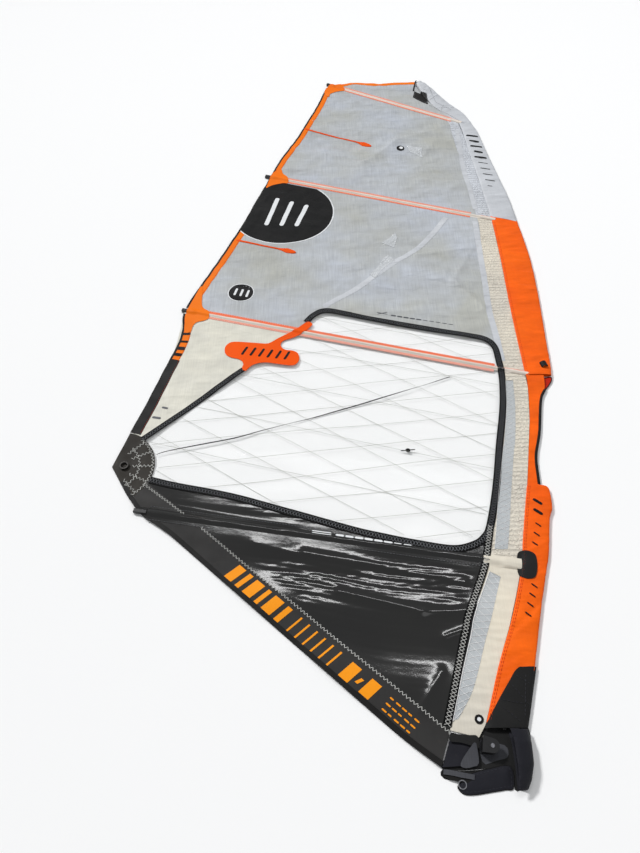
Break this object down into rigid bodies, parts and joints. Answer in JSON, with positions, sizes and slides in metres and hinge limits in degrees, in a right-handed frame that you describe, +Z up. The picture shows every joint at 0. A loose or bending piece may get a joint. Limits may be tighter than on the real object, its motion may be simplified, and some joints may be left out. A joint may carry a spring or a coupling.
{
  "type": "windsurf sail rig",
  "caption": "Unrigged windsurf sail lying flat: battened cloth and film panels that fold about the battens, mast sleeve, boom cut-out, clew ring and tack pulley.",
  "frame": {"origin": "centre of the sail's plan outline, on the surface that it lies on", "axes": "+X from the leech towards the luff (mast side), +Y from the tack towards the head, +Z up from the floor"},
  "size_m": [1.6801, 3.737, 0.0409],
  "materials": {
    "ply_cloth": "satin silver-grey laminate with a fine woven ply",
    "white_dacron": "matt white woven polyester",
    "cream_dacron": "matt off-white woven polyester",
    "orange_cloth": "semi-matt orange woven polyester",
    "black_cloth": "matt black woven tape",
    "black_film": "glossy black laminated film",
    "clear_film": "clear monofilm with fine scrim threads",
    "pocket_tape": "salmon pocket tape over a white core",
    "steel": "brushed stainless steel",
    "black_plastic": "moulded black plastic",
    "glass_fibre": "pultruded glass fibre",
    "navy_padding": "dark navy neoprene with a woven face"
  },
  "bodies": {
    "window_section": {"window_film_lower": "clear_film", "window_tape_lower": "black_cloth", "window_tape_leech": "black_cloth", "leech_panel": "ply_cloth", "clew_panel": "black_film", "lower_luff_panel": "cream_dacron", "cutout_strip": "orange_cloth", "lower_sleeve": "orange_cloth", "clew_patch": "black_cloth", "clew_ring": "steel", "batten_pocket_middle": "pocket_tape", "batten_middle": "glass_fibre", "tensioner_housing_middle": "black_plastic", "batten_pocket_lower": "black_film", "batten_lower": "glass_fibre", "tensioner_housing_lower": "black_plastic"},
    "middle_section": {"middle_panel": "ply_cloth", "middle_luff_panel": "cream_dacron", "middle_sleeve": "orange_cloth", "mini_batten_middle": "orange_cloth", "window_film_upper": "clear_film", "window_tape_upper": "black_cloth", "grab_loop": "black_cloth", "batten_pocket_upper": "pocket_tape", "batten_upper": "glass_fibre", "tensioner_housing_upper": "black_plastic"},
    "upper_section": {"upper_panel": "ply_cloth", "upper_luff_panel": "cream_dacron", "upper_sleeve": "white_dacron", "mini_batten_upper": "orange_cloth", "batten_pocket_head": "pocket_tape", "batten_head": "glass_fibre", "tensioner_housing_head": "black_plastic"},
    "head_section": {"head_panel": "ply_cloth", "head_sleeve": "white_dacron", "head_strap": "black_cloth", "head_cap": "black_plastic"},
    "foot_section": {"foot_panel": "black_film", "foot_strip": "black_cloth", "foot_luff_panel": "cream_dacron", "foot_sleeve": "orange_cloth", "tack_patch": "navy_padding", "tack_cover": "navy_padding"},
    "pulley_block": {"pulley_bracket": "steel", "pulley_pin": "steel"},
    "cover_flap": {"cover_flap": "navy_padding", "flap_ring": "steel"},
    "roller_1": {"pulley_roller_1": "black_plastic"},
    "roller_2": {"pulley_roller_2": "black_plastic"},
    "roller_3": {"pulley_roller_3": "black_plastic"},
    "screw_head": {"tensioner_screw_head": "steel"},
    "plug_head": {"tensioner_plug_head": "black_plastic"},
    "screw_upper": {"tensioner_screw_upper": "steel"},
    "plug_upper": {"tensioner_plug_upper": "black_plastic"},
    "screw_middle": {"tensioner_screw_middle": "steel"},
    "plug_middle": {"tensioner_plug_middle": "black_plastic"},
    "screw_lower": {"tensioner_screw_lower": "steel"},
    "plug_lower": {"tensioner_plug_lower": "black_plastic"}
  },
  "joints": [
    {"name": "fold_middle", "type": "hinge", "parent": "window_section", "child": "middle_section", "pos_m": [-0.681, -0.0868, 0.0075], "axis": [0.9691, -0.2466, 0], "range_deg": [-60, 60]},
    {"name": "fold_upper", "type": "hinge", "parent": "middle_section", "child": "upper_section", "pos_m": [-0.378, 0.8876, 0.0075], "axis": [0.9521, -0.3057, 0], "range_deg": [-60, 60]},
    {"name": "fold_head", "type": "hinge", "parent": "upper_section", "child": "head_section", "pos_m": [-0.058, 1.8363, 0.0075], "axis": [0.8638, -0.5038, 0], "range_deg": [-60, 60]},
    {"name": "fold_lower", "type": "hinge", "parent": "window_section", "child": "foot_section", "pos_m": [-0.722, -1.0416, 0.0075], "axis": [-0.9886, 0.1507, 0], "range_deg": [-60, 60]},
    {"name": "pulley_swing", "type": "hinge", "parent": "foot_section", "child": "pulley_block", "pos_m": [0.32261, -1.75118, 0.008], "axis": [-0.2079, -0.9781, 0], "range_deg": [0, 60]},
    {"name": "roller_spin_1", "type": "hinge", "parent": "pulley_block", "child": "roller_1", "pos_m": [0.35, -1.757, 0.016], "axis": [0, 0, 1], "continuous": true},
    {"name": "roller_spin_2", "type": "hinge", "parent": "pulley_block", "child": "roller_2", "pos_m": [0.35, -1.757, 0.016], "axis": [0, 0, 1], "continuous": true},
    {"name": "roller_spin_3", "type": "hinge", "parent": "pulley_block", "child": "roller_3", "pos_m": [0.35, -1.757, 0.016], "axis": [0, 0, 1], "continuous": true},
    {"name": "flap_lift", "type": "hinge", "parent": "foot_section", "child": "cover_flap", "pos_m": [0.397, -1.835, 0.002], "axis": [0, 1, 0], "range_deg": [0, 80]},
    {"name": "plug_travel_head", "type": "slide", "parent": "upper_section", "child": "plug_head", "axis": [0.8638, -0.5038, 0], "range_m": [0, 0.006]},
    {"name": "screw_turn_head", "type": "hinge", "parent": "upper_section", "child": "screw_head", "pos_m": [-0.058, 1.8363, 0.0075], "axis": [0.8638, -0.5038, 0], "range_deg": [0, 1800]},
    {"name": "plug_travel_upper", "type": "slide", "parent": "middle_section", "child": "plug_upper", "axis": [0.9521, -0.3057, 0], "range_m": [0, 0.006]},
    {"name": "screw_turn_upper", "type": "hinge", "parent": "middle_section", "child": "screw_upper", "pos_m": [-0.378, 0.8876, 0.0075], "axis": [0.9521, -0.3057, 0], "range_deg": [0, 1800]},
    {"name": "plug_travel_middle", "type": "slide", "parent": "window_section", "child": "plug_middle", "axis": [0.9691, -0.2466, 0], "range_m": [0, 0.006]},
    {"name": "screw_turn_middle", "type": "hinge", "parent": "window_section", "child": "screw_middle", "pos_m": [-0.681, -0.0868, 0.0075], "axis": [0.9691, -0.2466, 0], "range_deg": [0, 1800]},
    {"name": "plug_travel_lower", "type": "slide", "parent": "window_section", "child": "plug_lower", "axis": [0.9886, -0.1507, 0], "range_m": [0, 0.006]},
    {"name": "screw_turn_lower", "type": "hinge", "parent": "window_section", "child": "screw_lower", "pos_m": [-0.722, -1.0416, 0.0075], "axis": [0.9886, -0.1507, 0], "range_deg": [0, 1800]}
  ],
  "couplings": [
    {"joint": "screw_turn_head", "follows": "plug_travel_head", "rad_per_m": 5236},
    {"joint": "screw_turn_upper", "follows": "plug_travel_upper", "rad_per_m": 5236},
    {"joint": "screw_turn_middle", "follows": "plug_travel_middle", "rad_per_m": 5236},
    {"joint": "screw_turn_lower", "follows": "plug_travel_lower", "rad_per_m": 5236}
  ]
}
